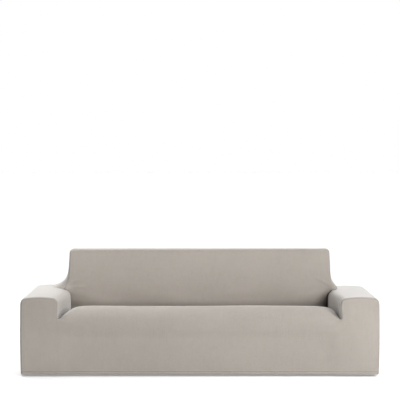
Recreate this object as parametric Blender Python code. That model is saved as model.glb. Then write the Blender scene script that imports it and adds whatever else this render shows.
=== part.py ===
"""Stretch-knit slipcover for a long seat with a backrest and two arms, as five sewn panels.

The cover is one skin, cut along its seams. Each panel is a grid of points, or several, whose
edges meet the neighbouring panels' edges point by point. The skin is then given its thickness
inward and every panel is drawn back a little from its seams, so each is a closed sheet.

Heights are measured from the floor, +Y runs to the rear and the cover faces -Y. The parent
empty moves the whole cover so that the middle of the underside of its top is at the origin.
"""
import math
from collections import namedtuple

import bmesh
import bpy
import numpy as np
from mathutils import Vector

# Cloth
CLOTH = 0.0020                # thickness of the knit
HEM_CLOTH = 0.0030            # thickness of the turned-up hem
HEM_DEPTH = 0.020             # height of the hem
HEM_CURL = 0.003              # how far the bottom edge rolls under
HEM_CURL_HEIGHT = 0.007
SEAM_GAP = 0.0003             # between neighbouring panels
WELD_DISTANCE = 0.00002       # joins the panels' shared edge points
SMALLEST_CORNER = 0.01        # radians; a narrower face corner counts as this wide
SMALLEST_SPREAD = 0.5         # keeps a sharp corner of a panel from being cut back too far
FLAT_LIMIT = 0.25             # below this spread of its faces a point counts as flat
SHARP_ANGLE = 40.0            # degrees; edges sharper than this are shaded sharp
CLOTH_COLOUR = (0.47, 0.43, 0.39, 1.0)
CLOTH_ROUGHNESS = 0.9

# Whole cover
FRONT_Y = -0.465
REAR_Y = 0.465
HEM_Z = 0.015
ARM_TOP_Z = 0.534              # at the front
ARM_REAR_DROP = 0.020          # the arms' tops run down towards the rear
BACK_TOP_Z = 0.806

# Arms
ARM_CROWN = 0.006             # rise of the arm's top between its rounded edges
ARM_INNER_FRONT_RADIUS = 0.044
ARM_INNER_REAR_RADIUS = 0.058  # the web draws the inner top edge down at the backrest
ARM_OUTER_RADIUS = 0.040
ARM_OUTER_BOW = 0.004         # outward bow of the outer side, half way up
ARM_FACE_FULLNESS = 0.003     # outward bow of the arm's front face
ARM_FRONT_RADIUS = 0.012      # rounding where the sleeve meets the front face
REAR_RADIUS = 0.030           # rounding where the sleeve meets the rear
INNER_FACE_CURVE = 2.2        # how soon the inner side swells in behind the front edge

# Seat
CREASE_Z = 0.385              # seat at the backrest, in the middle
TIP_Z = 0.394                 # seat, arm face and arm side meet here
EDGE_REAR_Z = 0.372           # seat, arm side and backrest meet here
FRONT_ROUND_Z = 0.343         # the front starts to turn over here
CROWN_Z = 0.463               # highest line of the seat
CROWN_SETBACK = 0.150         # its distance behind the front
EDGE_CURVE = 3.0              # how steeply the seat drops beside the arms
FALL_CURVE = 1.2              # how late the seat drops behind its highest line
SWELL = 0.004                 # the seat stands proud of the arm faces
SKIRT_RECESS = 0.006          # the skirt hangs back from them
SWELL_LOW_Z = 0.268
SWELL_HIGH_Z = 0.322
SKIRT_FADE = 0.070            # width over which the recess fades in beside an arm face

# Backrest
FACE_Y = 0.120                # face of the backrest at the seat
FACE_LEAN = 0.235             # backward travel of the face for each metre of height
BACK_HALF = 0.931
BACK_TAPER = 0.025            # widening of the backrest for each metre below its shoulder
SHOULDER_Z = 0.776
TOP_SIDE_RADIUS = 0.026
TOP_REAR_RADIUS = 0.055
REAR_LEAN = 0.080             # forward travel of the upper rear for each metre of height
SIDE_EDGE_ROUND = 0.008       # rounding of the backrest's upright front edges
SIDE_EDGE_HEIGHT = 0.030      # above the arm, over which that rounding fades in
SIDE_EDGE_SHARE = 0.06        # share of the way to the rear, over which it fades out
FACE_HEIGHT_CURVE = 4         # how close to the edge the face's rows bend to meet it
FACE_WIDTH_CURVE = 8          # the same for its columns

# A row for each side: where its faces lie, and the stretched web between backrest and arm.
Side = namedtuple("Side", "sign outer_x inner_front_x inner_rear_x web_reach web_decay crown_fade")
LEFT = Side(-1, 1.205, 0.952, 0.915, 0.112, 0.038, 0.170)
RIGHT = Side(1, 1.210, 0.950, 0.912, 0.064, 0.027, 0.190)

# A row for each place where a sleeve's front seam is pinched in.
Pinch = namedtuple("Pinch", "side z half_height inset setback")
PINCHES = (
    Pinch(RIGHT, 0.465, 0.034, 0.003, 0.006),
)

# A row for each soft hollow in the backrest's face.
Hollow = namedtuple("Hollow", "x z half_width half_height depth")
HOLLOWS = (
    Hollow(-0.45, 0.41, 0.22, 0.07, 0.014),
    Hollow(0.48, 0.41, 0.36, 0.07, 0.015),
)

# A row for each rise along the seat's highest line.
Rise = namedtuple("Rise", "x half_width height")
RISES = (
    Rise(-0.70, 0.16, 0.003),
    Rise(0.36, 0.28, 0.006),
)

# A row for each height at which the backrest's sides are cut, above the arm's top.
SIDE_LEVELS = (0.0, 0.010, 0.023, 0.041, 0.068, 0.110, 0.175, SHOULDER_Z - ARM_TOP_Z)
TOP_ROUND_ANGLES = (30, 60, 90)
# Height of the top's surface under BACK_TOP_Z, by the share of the way from front to rear.
TopDrop = namedtuple("TopDrop", "share drop")
TOP_DROPS = (
    TopDrop(0.00, 0.014),
    TopDrop(0.06, 0.004),
    TopDrop(0.20, 0.000),
    TopDrop(1.00, 0.012),
)

# Shares of the half width at which the columns of the seat, face, top and rear run.
HALF_COLUMNS = (0.0, 0.13, 0.27, 0.41, 0.55, 0.68, 0.78, 0.855, 0.905, 0.945, 0.976, 1.0)
COLUMNS = tuple(-share for share in reversed(HALF_COLUMNS[1:])) + HALF_COLUMNS

# Shares of the height between the hem's top and the crease tip at which the front rows run.
FRONT_ROW_SHARES = (0.25, 0.50, 0.66, 0.77, 0.88, 1.0)

HEM_ROWS = 3                  # rows up to the hem's top
ROWS_BEHIND_CROWN = 5         # rows of the seat behind its highest line
MOUNT_ROW = 3                 # row of the top's surface under which the cover is held

# Angles of the sleeve's rounded ends, and shares of the way between them.
FRONT_END_ANGLES = (72, 40, 0)
SLEEVE_SHARES = (0.09, 0.18, 0.31, 0.46, 0.61, 0.76, 0.90, 1.0)
BEHIND_SHARES = (0.03, 0.22, 0.58)
REAR_END_ANGLES = (0, 38, 76)

# Steps round an arm's cross-section.
INNER_SIDE_STEPS = 3
ARC_STEPS = 4
TOP_STEPS = 3
UPPER_OUTER_STEPS = 3


def blend(start, end, share):
    """Value a share of the way from start to end."""
    return start + (end - start) * share


def smooth(share):
    """Share clipped to 0..1 and eased at both ends."""
    share = min(max(share, 0.0), 1.0)
    return share * share * (3.0 - 2.0 * share)


def bell(distance, half_width):
    """Soft bump of height 1 that fades over about twice its half width."""
    return math.exp(-(distance / half_width) ** 2)


def hem_curl(z):
    """How far the cloth has rolled under at height z."""
    share = max(0.0, 1.0 - (z - HEM_Z) / HEM_CURL_HEIGHT)
    return HEM_CURL * share * share


def face_depth(x, z):
    """Y of the backrest's face."""
    lean = FACE_Y + FACE_LEAN * (z - CREASE_Z)
    return lean + sum(
        hollow.depth * bell(x - hollow.x, hollow.half_width) * bell(z - hollow.z, hollow.half_height)
        for hollow in HOLLOWS
    )


def sleeve_rows():
    """Share of the way and end inset of each row, and the index of the row at the backrest.

    Up to the backrest's face a share runs from the front to the face, behind it from there to
    the rear.
    """
    face_run = FACE_Y - FRONT_Y
    rear_run = REAR_Y - face_depth(0.0, ARM_TOP_Z)
    shares = []
    insets = []
    for angle in map(math.radians, FRONT_END_ANGLES):
        shares.append(ARM_FRONT_RADIUS * (1.0 - math.sin(angle)) / face_run)
        insets.append(ARM_FRONT_RADIUS * (1.0 - math.cos(angle)))
    shares += SLEEVE_SHARES
    insets += [0.0] * len(SLEEVE_SHARES)
    face_row = len(shares) - 1
    shares += BEHIND_SHARES
    insets += [0.0] * len(BEHIND_SHARES)
    for angle in map(math.radians, REAR_END_ANGLES):
        shares.append(1.0 - REAR_RADIUS * (1.0 - math.sin(angle)) / rear_run)
        insets.append(REAR_RADIUS * (1.0 - math.cos(angle)))
    return shares, insets, face_row


ROW_SHARE, ROW_INSET, FACE_ROW = sleeve_rows()
LAST_ROW = len(ROW_SHARE) - 1
WEB_INDEX = INNER_SIDE_STEPS + ARC_STEPS + 1       # point of a section where the web lands
OUTER_MID_INDEX = WEB_INDEX + TOP_STEPS + ARC_STEPS // 2
INNER_MID_INDEX = INNER_SIDE_STEPS + ARC_STEPS // 2


def row_depth(row, face_y, rear_y=REAR_Y):
    """Y of a row where the backrest's face and the rear lie at the given depths."""
    if row <= FACE_ROW:
        return blend(FRONT_Y, face_y, ROW_SHARE[row])
    return blend(face_y, rear_y, ROW_SHARE[row])


def arm_top(row):
    """Height of an arm's top at a row."""
    depth = row_depth(row, face_depth(0.0, ARM_TOP_Z))
    return ARM_TOP_Z - ARM_REAR_DROP * (depth - FRONT_Y) / (REAR_Y - FRONT_Y)


def outer_heights(tip_z, top_z):
    """Heights of the rows on an outer side, from the hem to where its top edge rounds."""
    heights = [HEM_Z, HEM_Z + HEM_CURL_HEIGHT, HEM_Z + HEM_DEPTH]
    heights += [blend(HEM_Z + HEM_DEPTH, tip_z, share) for share in FRONT_ROW_SHARES]
    heights += [blend(tip_z, top_z, (step + 1) / UPPER_OUTER_STEPS) for step in range(UPPER_OUTER_STEPS)]
    return heights


def side_reach(side, height):
    """Distance of the backrest's side from the middle at a height above the arm's top."""
    below_shoulder = SHOULDER_Z - ARM_TOP_Z - height
    return BACK_HALF + BACK_TAPER * below_shoulder + side.web_reach * math.exp(-height / side.web_decay)


def arm_section(side, row):
    """Points round an arm at one row: inner side, top and outer side down to the hem."""
    inset = ROW_INSET[row]
    way = ROW_SHARE[row] if row <= FACE_ROW else 1.0
    swell = (1.0 - way) ** INNER_FACE_CURVE
    inner = blend(side.inner_rear_x, side.inner_front_x, swell) + inset
    outer = side.outer_x - inset
    top = arm_top(row) - inset
    crease = blend(TIP_Z, EDGE_REAR_Z, way)
    inner_radius = blend(ARM_INNER_FRONT_RADIUS, ARM_INNER_REAR_RADIUS, way) - inset
    outer_radius = ARM_OUTER_RADIUS - inset
    web = side_reach(side, 0.0) - (inset if row > FACE_ROW else 0.0)

    profile = []
    for step in range(INNER_SIDE_STEPS):
        profile.append((inner, blend(crease, top - inner_radius, step / INNER_SIDE_STEPS)))
    for step in range(ARC_STEPS + 1):
        angle = math.pi / 2 * step / ARC_STEPS
        x = inner + inner_radius * (1.0 - math.cos(angle))
        profile.append((x, top - inner_radius * (1.0 - math.sin(angle))))
    flat_end = outer - outer_radius
    for step in range(TOP_STEPS + 1):
        x = blend(web, flat_end, step / TOP_STEPS)
        across = (x - inner - inner_radius) / (flat_end - inner - inner_radius)
        profile.append((x, top + ARM_CROWN * math.sin(math.pi * across)))
    for step in range(1, ARC_STEPS):
        angle = math.pi / 2 * step / ARC_STEPS
        x = flat_end + outer_radius * math.sin(angle)
        profile.append((x, top - outer_radius * (1.0 - math.cos(angle))))
    side_top = top - outer_radius
    for z in reversed(outer_heights(TIP_Z, side_top)):
        bow = ARM_OUTER_BOW * math.sin(math.pi * (z - HEM_Z) / (side_top - HEM_Z))
        profile.append((outer + bow - hem_curl(z), z))

    points = []
    for index, (x, z) in enumerate(profile):
        signed_x = side.sign * x
        if index < WEB_INDEX:
            face_y = face_depth(signed_x, z)
        else:
            face_y = face_depth(side.sign * web, top)
        points.append(Vector((signed_x, row_depth(row, face_y), z)))
    if row == 0:
        for pinch in PINCHES:
            if pinch.side is side:
                for point in points[1:INNER_SIDE_STEPS + 1]:
                    depth = bell(point.z - pinch.z, pinch.half_height)
                    point.x += side.sign * pinch.inset * depth
                    point.y += pinch.setback * depth
    return points


def front_depth(x, z, edge_x):
    """Y of the front between the arm faces: a skirt that hangs back under the seat's swell."""
    swollen = smooth((z - SWELL_LOW_Z) / (SWELL_HIGH_Z - SWELL_LOW_Z))
    fade = smooth((edge_x - abs(x)) / SKIRT_FADE)
    return FRONT_Y + fade * blend(SKIRT_RECESS, -SWELL, swollen) + hem_curl(z)


def side_of(share):
    """The side a column share lies on."""
    return LEFT if share < 0.0 else RIGHT


def seat_point(sections, row, share):
    """Point of the seat at one row and one column."""
    side = side_of(share)
    edge = sections[side][row][0]
    edge_x = abs(edge.x)
    x = share * edge_x
    if abs(share) == 1.0:
        return edge.copy()
    near_edge = max(0.0, (abs(x) - edge_x + side.crown_fade) / side.crown_fade) ** EDGE_CURVE
    crown = CROWN_Z + sum(rise.height * bell(x - rise.x, rise.half_width) for rise in RISES)
    front_y = front_depth(x, FRONT_ROUND_Z, abs(sections[side][0][0].x))
    crown_row = FACE_ROW - ROWS_BEHIND_CROWN
    if row <= crown_row:
        angle = math.pi / 2 * row / crown_row
        y = front_y + (FRONT_Y + CROWN_SETBACK - front_y) * (1.0 - math.cos(angle))
        z = blend(FRONT_ROUND_Z, crown, math.sin(angle))
    else:
        way = (row - crown_row) / (FACE_ROW - crown_row)
        y = blend(FRONT_Y + CROWN_SETBACK, face_depth(x, CREASE_Z), way)
        z = blend(crown, CREASE_Z, way ** FALL_CURVE)
    z = blend(z, edge.z, near_edge)
    y = blend(y, edge.y, near_edge)
    if row == FACE_ROW:
        y = face_depth(x, z)
    return Vector((x, y, z))


def fill(bottom, top, left, right):
    """Grid of points that spans four edges, each row running from left to right."""
    last_column = len(bottom) - 1
    last_row = len(left) - 1
    grid = []
    for row in range(last_row + 1):
        v = row / last_row
        line = []
        for column in range(last_column + 1):
            u = column / last_column
            ruled = blend(bottom[column], top[column], v) + blend(left[row], right[row], u)
            corners = blend(blend(bottom[0], bottom[-1], u), blend(top[0], top[-1], u), v)
            line.append(ruled - corners)
        grid.append(line)
    return grid


def line_between(start, end, steps):
    """Evenly spaced points from start to end."""
    return [start.lerp(end, step / steps) for step in range(steps + 1)]


def front_grids(sections):
    """Seat, front skirt and both arm faces."""
    seat = [[seat_point(sections, row, share) for share in COLUMNS] for row in range(FACE_ROW + 1)]
    skirt = []
    for index in range(HEM_ROWS + len(FRONT_ROW_SHARES) - 1):
        line = []
        for share, top_point in zip(COLUMNS, seat[0]):
            z = outer_heights(top_point.z, ARM_TOP_Z)[index]
            edge_x = abs(sections[side_of(share)][0][0].x)
            line.append(Vector((top_point.x, front_depth(top_point.x, z, edge_x), z)))
        skirt.append(line)
    skirt.append(seat[0])

    grids = [skirt, seat]
    for side, column in ((LEFT, 0), (RIGHT, -1)):
        section = sections[side][0]
        left = [line[column] for line in skirt] + section[1:INNER_MID_INDEX + 1]
        right = section[:OUTER_MID_INDEX - 1:-1]
        top = section[INNER_MID_INDEX:OUTER_MID_INDEX + 1]
        bottom = line_between(left[0], right[0], len(top) - 1)
        face = fill(bottom, top, left, right)
        for row, line in enumerate(face):
            for number, point in enumerate(line):
                up = math.sin(math.pi * row / (len(face) - 1))
                along = math.sin(math.pi * number / (len(line) - 1))
                point.y -= ARM_FACE_FULLNESS * up * along
        grids.append(face)
    return grids, seat


def sleeve_grids(sections, side):
    """An arm's inner side, top and outer side."""
    rows = sections[side]
    behind = [section[WEB_INDEX:] for section in rows[FACE_ROW:]]
    return [rows[:FACE_ROW + 1], behind]


def top_drop(share):
    """How far the top's surface lies under its highest line, a share of the way to the rear."""
    for near, far in zip(TOP_DROPS, TOP_DROPS[1:]):
        if share <= far.share:
            return blend(near.drop, far.drop, smooth((share - near.share) / (far.share - near.share)))
    return TOP_DROPS[-1].drop


def shell_levels():
    """Height above the arm's top and rounding angle of each level of the backrest's shell."""
    levels = [(height, 0.0) for height in SIDE_LEVELS]
    return levels + [(SIDE_LEVELS[-1], math.radians(angle)) for angle in TOP_ROUND_ANGLES]


def shell_point(sections, side, level, row):
    """Point on the backrest's side at one level and one row, from the face to the rear."""
    if level == 0:
        return sections[side][row][WEB_INDEX].copy()
    height, angle = shell_levels()[level]
    share = 0.0 if row == FACE_ROW else ROW_SHARE[row]
    base_z = sections[side][row][WEB_INDEX].z
    z = blend(base_z, SHOULDER_Z, height / SIDE_LEVELS[-1])
    z = blend(z, BACK_TOP_Z - top_drop(share), math.sin(angle))
    turn = 1.0 - math.cos(angle)
    near_face = max(0.0, 1.0 - share / SIDE_EDGE_SHARE)
    front_round = SIDE_EDGE_ROUND * near_face * min(1.0, height / SIDE_EDGE_HEIGHT)
    x = side_reach(side, height) - ROW_INSET[row] - TOP_SIDE_RADIUS * turn - front_round
    signed_x = side.sign * x
    rear_y = REAR_Y - REAR_LEAN * (z - base_z) - TOP_REAR_RADIUS * turn
    face_y = face_depth(signed_x, z)
    y = face_y if row == FACE_ROW else row_depth(row, face_y, rear_y)
    return Vector((signed_x, y, z))


def across(left, right, share):
    """Point between two side points at a column share."""
    point = left.lerp(right, (share + 1.0) / 2.0)
    point.x = abs(share) * (left.x if share < 0.0 else right.x)
    return point


def rear_heights(section, top_z):
    """Heights of the rear's lower rows, from the hem to top_z."""
    heights = [point.z for point in section[:OUTER_MID_INDEX - 1:-1]]
    hem_top = heights[HEM_ROWS - 1]
    stretch = (top_z - hem_top) / (heights[-1] - hem_top)
    return heights[:HEM_ROWS] + [hem_top + (z - hem_top) * stretch for z in heights[HEM_ROWS:]]


def outside_back_grids(sections):
    """Top, sides and rear of the backrest, with the rear of both arms down to the hem."""
    rows = range(FACE_ROW, LAST_ROW + 1)
    level_count = len(shell_levels())
    shells = {
        side: [[shell_point(sections, side, level, row) for row in rows] for level in range(level_count)]
        for side in (LEFT, RIGHT)
    }
    crown_left = shells[LEFT][-1]
    crown_right = shells[RIGHT][-1]
    top = [[across(a, b, share) for share in COLUMNS] for a, b in zip(crown_left, crown_right)]
    upper = [
        [across(shells[LEFT][level][-1], shells[RIGHT][level][-1], share) for share in COLUMNS]
        for level in range(level_count)
    ]
    top[-1] = upper[-1]
    grids = [shells[LEFT], shells[RIGHT], top, upper]

    landings = {}
    for side in (LEFT, RIGHT):
        section = sections[side][LAST_ROW]
        corner = section[WEB_INDEX]
        left = []
        for z in rear_heights(section, corner.z):
            left.append(Vector((corner.x, corner.y - hem_curl(z), z)))
        right = [point.copy() for point in section[:OUTER_MID_INDEX - 1:-1]]
        edge_top = section[WEB_INDEX:OUTER_MID_INDEX + 1]
        bottom = line_between(left[0], right[0], len(edge_top) - 1)
        grids.append(fill(bottom, edge_top, left, right))
        landings[side] = left
    lower = [
        [across(a, b, share) for share in COLUMNS]
        for a, b in zip(landings[LEFT], landings[RIGHT])
    ]
    grids.append(lower)
    return grids, shells, top


def inside_back_grids(sections, seat, shells, top):
    """Face of the backrest, from the crease at the seat to the top edge."""
    edges = {
        side: sections[side][FACE_ROW][:WEB_INDEX] + [level[0] for level in shells[side]]
        for side in (LEFT, RIGHT)
    }
    last = len(edges[LEFT]) - 1
    face = [seat[-1]]
    for row in range(1, last):
        way = row / last
        line = []
        for column, share in enumerate(COLUMNS):
            edge = edges[side_of(share)][row]
            if abs(share) == 1.0:
                line.append(edge.copy())
                continue
            middle_z = blend(seat[-1][column].z, top[0][column].z, way)
            z = blend(middle_z, edge.z, abs(share) ** FACE_HEIGHT_CURVE)
            x = share * blend(BACK_HALF, abs(edge.x), abs(share) ** FACE_WIDTH_CURVE)
            line.append(Vector((x, face_depth(x, z), z)))
        face.append(line)
    face.append(top[0])
    return [face]


def add_grid(skin, layer, grid, panel):
    """Add one grid of points to the skin as four-sided faces of a panel."""
    corners = [[skin.verts.new(point) for point in line] for line in grid]
    for lower, upper in zip(corners, corners[1:]):
        for column in range(len(lower) - 1):
            face = skin.faces.new((lower[column], lower[column + 1], upper[column + 1], upper[column]))
            face[layer] = panel


def build_skin(panels):
    """Weld all panels' grids into one skin that faces outward."""
    skin = bmesh.new()
    layer = skin.faces.layers.int.new("panel")
    for panel, grids in enumerate(panels.values()):
        for grid in grids:
            add_grid(skin, layer, grid, panel)
    bmesh.ops.remove_doubles(skin, verts=skin.verts, dist=WELD_DISTANCE)
    bmesh.ops.recalc_face_normals(skin, faces=skin.faces)
    skin.normal_update()
    highest = max(skin.faces, key=lambda face: face.calc_center_median().z)
    if highest.normal.z < 0.0:
        bmesh.ops.reverse_faces(skin, faces=skin.faces)
    skin.normal_update()
    skin.verts.index_update()
    return skin, layer


def inward_offset(vert):
    """Vector from the outer surface to the inner one, a full thickness under every face."""
    thickness = HEM_CLOTH if vert.co.z < HEM_Z + HEM_DEPTH - CLOTH else CLOTH
    weights = []
    normals = []
    for loop in vert.link_loops:
        weight = math.sqrt(max(loop.calc_angle(), SMALLEST_CORNER))
        normals.append([component * weight for component in loop.face.normal])
        weights.append(-thickness * weight)
    offset = np.linalg.lstsq(np.array(normals), np.array(weights), rcond=FLAT_LIMIT)[0]
    return Vector(offset)


def seam_shift(vert, faces, offset):
    """Move of a panel's edge point along the panel, away from its seams."""
    seams = [edge for edge in vert.link_edges if len(edge.link_faces) == 2
             and sum(face in faces for face in edge.link_faces) == 1]
    shift = Vector()
    if not seams:
        return shift
    inward = []
    for edge in seams:
        face = next(face for face in edge.link_faces if face in faces)
        along = (edge.verts[1].co - edge.verts[0].co).normalized()
        away = face.calc_center_median() - edge.verts[0].co
        inward.append((away - along * away.dot(along)).normalized())
    for direction in inward:
        shift += direction
    spread = 1.0 + (inward[0].dot(inward[1]) if len(inward) == 2 else 1.0)
    mitre = offset.length / CLOTH
    return shift * (SEAM_GAP / 2.0 * mitre / max(spread, SMALLEST_SPREAD))


def triangles(corners):
    """The two triangles of a four-sided face, split along its shorter diagonal."""
    a, b, c, d = corners
    if (a.co - c.co).length <= (b.co - d.co).length:
        return ((a, b, c), (a, c, d))
    return ((a, b, d), (b, c, d))


def add_cut_edge(sheet, outer, inner, start, end):
    """Close the sheet between its outer and inner edge, split alike on both sides of a seam."""
    if start.index < end.index:
        sheet.faces.new((outer[end], outer[start], inner[end]))
        sheet.faces.new((outer[start], inner[start], inner[end]))
    else:
        sheet.faces.new((outer[end], outer[start], inner[start]))
        sheet.faces.new((outer[end], inner[start], inner[end]))


def panel_solid(skin, layer, panel, name, offsets):
    """Closed sheet of one panel: outer faces, inner faces and the cut edge between them."""
    faces = {face for face in skin.faces if face[layer] == panel}
    verts = sorted({vert for face in faces for vert in face.verts}, key=lambda vert: vert.index)
    sheet = bmesh.new()
    outer = {}
    inner = {}
    for vert in verts:
        offset = offsets[vert.index]
        place = vert.co + seam_shift(vert, faces, offset)
        outer[vert] = sheet.verts.new(place)
        inner[vert] = sheet.verts.new(place + offset)
    for face in sorted(faces, key=lambda face: face.index):
        for corners in triangles(face.verts):
            sheet.faces.new([outer[vert] for vert in corners])
            sheet.faces.new([inner[vert] for vert in reversed(corners)])
        for loop in face.loops:
            if sum(other in faces for other in loop.edge.link_faces) == 1:
                add_cut_edge(sheet, outer, inner, loop.vert, loop.link_loop_next.vert)
    sheet.normal_update()
    mesh = bpy.data.meshes.new(name)
    sheet.to_mesh(mesh)
    sheet.free()
    mesh.shade_smooth()
    mesh.set_sharp_from_angle(angle=math.radians(SHARP_ANGLE))
    return mesh


def cloth_material(name):
    """Plain knit colour."""
    material = bpy.data.materials.new(name)
    material.use_nodes = True
    shader = material.node_tree.nodes["Principled BSDF"]
    shader.inputs["Base Color"].default_value = CLOTH_COLOUR
    shader.inputs["Roughness"].default_value = CLOTH_ROUGHNESS
    shader.inputs["Metallic"].default_value = 0.0
    return material


def main():
    """Build the cover."""
    for item in list(bpy.data.objects):
        bpy.data.objects.remove(item)

    sections = {
        side: [arm_section(side, row) for row in range(LAST_ROW + 1)] for side in (LEFT, RIGHT)
    }
    front, seat = front_grids(sections)
    outside_back, shells, top = outside_back_grids(sections)
    panels = {
        "seat_front_panel": front,
        "arm_panel_left": sleeve_grids(sections, LEFT),
        "arm_panel_right": sleeve_grids(sections, RIGHT),
        "inside_back_panel": inside_back_grids(sections, seat, shells, top),
        "outside_back_panel": outside_back,
    }
    skin, layer = build_skin(panels)
    offsets = [inward_offset(vert) for vert in skin.verts]

    middle = len(COLUMNS) // 2
    under_top = top[MOUNT_ROW][middle]
    cover = bpy.data.objects.new("cover_frame", None)
    cover.location = (0.0, -under_top.y, CLOTH - under_top.z)
    bpy.context.scene.collection.objects.link(cover)
    for panel, name in enumerate(panels):
        mesh = panel_solid(skin, layer, panel, name, offsets)
        mesh.materials.append(cloth_material(name + "_knit"))
        sheet = bpy.data.objects.new(name, mesh)
        sheet.parent = cover
        bpy.context.scene.collection.objects.link(sheet)
    skin.free()


main()
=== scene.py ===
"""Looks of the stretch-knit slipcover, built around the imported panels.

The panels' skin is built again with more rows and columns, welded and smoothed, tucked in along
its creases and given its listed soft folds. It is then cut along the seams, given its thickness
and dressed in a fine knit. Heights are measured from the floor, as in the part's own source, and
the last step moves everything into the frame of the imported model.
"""
import math
from collections import namedtuple

import bmesh
import bpy
import numpy as np
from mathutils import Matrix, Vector, kdtree


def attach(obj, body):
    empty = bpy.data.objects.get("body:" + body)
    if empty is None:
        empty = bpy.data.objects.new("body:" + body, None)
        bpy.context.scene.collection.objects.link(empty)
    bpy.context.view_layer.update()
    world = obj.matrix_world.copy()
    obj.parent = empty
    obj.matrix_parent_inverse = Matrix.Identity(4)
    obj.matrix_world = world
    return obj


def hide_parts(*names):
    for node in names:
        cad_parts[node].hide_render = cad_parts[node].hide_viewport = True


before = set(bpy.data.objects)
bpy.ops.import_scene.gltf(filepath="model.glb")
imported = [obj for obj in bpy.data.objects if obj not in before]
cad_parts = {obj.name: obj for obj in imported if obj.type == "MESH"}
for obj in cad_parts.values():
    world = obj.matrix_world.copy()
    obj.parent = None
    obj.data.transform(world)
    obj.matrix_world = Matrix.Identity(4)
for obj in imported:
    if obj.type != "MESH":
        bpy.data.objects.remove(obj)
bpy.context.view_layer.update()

# Move from the floor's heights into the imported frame
FRAME_SHIFT = Vector((0.0, -0.3162405, -0.7984496))

# Cloth
CLOTH = 0.0020  # thickness of the knit
HEM_CLOTH = 0.0030  # thickness of the turned-up hem
HEM_DEPTH = 0.020  # height of the hem
HEM_CURL = 0.003  # how far the bottom edge rolls under
HEM_CURL_HEIGHT = 0.007
SEAM_GAP = 0.0003  # between neighbouring panels
WELD_DISTANCE = 0.00002  # joins the panels' shared edge points
SMALLEST_CORNER = 0.01  # radians; a narrower face corner counts as this wide
SMALLEST_SPREAD = 0.5  # keeps a sharp corner of a panel from being cut back too far
FLAT_LIMIT = 0.25  # below this spread of its faces a point counts as flat
SHARP_ANGLE = 40.0  # degrees; edges sharper than this are shaded sharp
SMOOTH_LEVELS = 2  # times the skin is smoothed and subdivided
CREASE_ANGLE = -0.5  # radians; a seam bent inward more than this stays a crease

# Whole cover
FRONT_Y = -0.465
REAR_Y = 0.465
HEM_Z = 0.015
ARM_TOP_Z = 0.534  # at the front
BACK_TOP_Z = 0.802

# Arms
ARM_CROWN = 0.006  # rise of the arm's top between its rounded edges
ARM_INNER_REAR_RADIUS = 0.052  # of the inner top edge, which the web draws down at the backrest
FRONT_RADIUS_RUN = 0.12  # share of the way to the backrest over which that radius grows
ARM_OUTER_RADIUS = 0.040
ARM_OUTER_BOW = 0.004  # outward bow of the outer side, half way up
ARM_FACE_FULLNESS = 0.003  # outward bow of the arm's front face
ARM_FRONT_RADIUS = 0.012  # rounding where the sleeve meets the front face
REAR_RADIUS = 0.030  # rounding where the sleeve meets the rear

# Seat
CREASE_Z = 0.385  # seat at the backrest, in the middle
TIP_Z = 0.394  # seat, arm face and arm side meet here
EDGE_REAR_Z = 0.372  # seat, arm side and backrest meet here
FRONT_ROUND_Z = 0.343  # the front starts to turn over here
CROWN_Z = 0.459  # highest line of the seat
CROWN_SETBACK = 0.150  # its distance behind the front
EDGE_REAR_CURVE = 3.0  # how steeply the seat drops beside the arms, behind its highest line
FALL_CURVE = 1.2  # how late the seat drops behind its highest line
VALLEY_DEPTH = 0.030  # extra drop of the seat at the backrest
VALLEY_WIDTH = 0.075
UNDERCUT_DEPTH = 0.012  # the backrest's face draws back above the crease
UNDERCUT_HEIGHT = 0.030
SWELL = 0.004  # the seat stands proud of the arm faces
SKIRT_RECESS = 0.006  # the skirt hangs back from them
SWELL_LOW_Z = 0.268
SWELL_HIGH_Z = 0.322
SKIRT_FADE = 0.110  # width over which the recess fades in beside an arm face

# Backrest
FACE_Y = 0.120  # face of the backrest at the seat
FACE_LEAN = 0.235  # backward travel of the face for each metre of height
FACE_BULGE = 0.30  # how much it bows forward, half way up
BACK_HALF = 0.931
BACK_TAPER = 0.025  # widening of the backrest for each metre below its shoulder
SHOULDER_Z = 0.776
TOP_REAR_RADIUS = 0.055
REAR_LEAN = 0.080  # forward travel of the upper rear for each metre of height
SIDE_EDGE_ROUND = 0.008  # rounding of the backrest's upright front edges
SIDE_EDGE_HEIGHT = 0.030  # above the arm, over which that rounding fades in
SIDE_EDGE_SHARE = 0.06  # share of the way to the rear, over which it fades out
FACE_HEIGHT_CURVE = 4  # how close to the edge the face's rows bend to meet it
FACE_WIDTH_CURVE = 6  # the same for its columns

# A row for each side. The arm: where its faces lie, the radius of its inner top edge at the very
# front and behind it, how soon its inner side swells in, how far its top runs down to the rear.
Arm = namedtuple(
    "Arm", "outer_x inner_front_x inner_rear_x front_radius inner_radius inner_curve rear_drop"
)
# The stretched web between backrest and arm: how far it reaches out, how soon and how steeply it
# fades upward, how far its outer end lies behind the backrest's face and over which width, how
# far its foot runs forward onto the arm, and the share of its reach that its front edge has.
Web = namedtuple("Web", "reach decay steepness sweep sweep_width ramp front_share")
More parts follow.
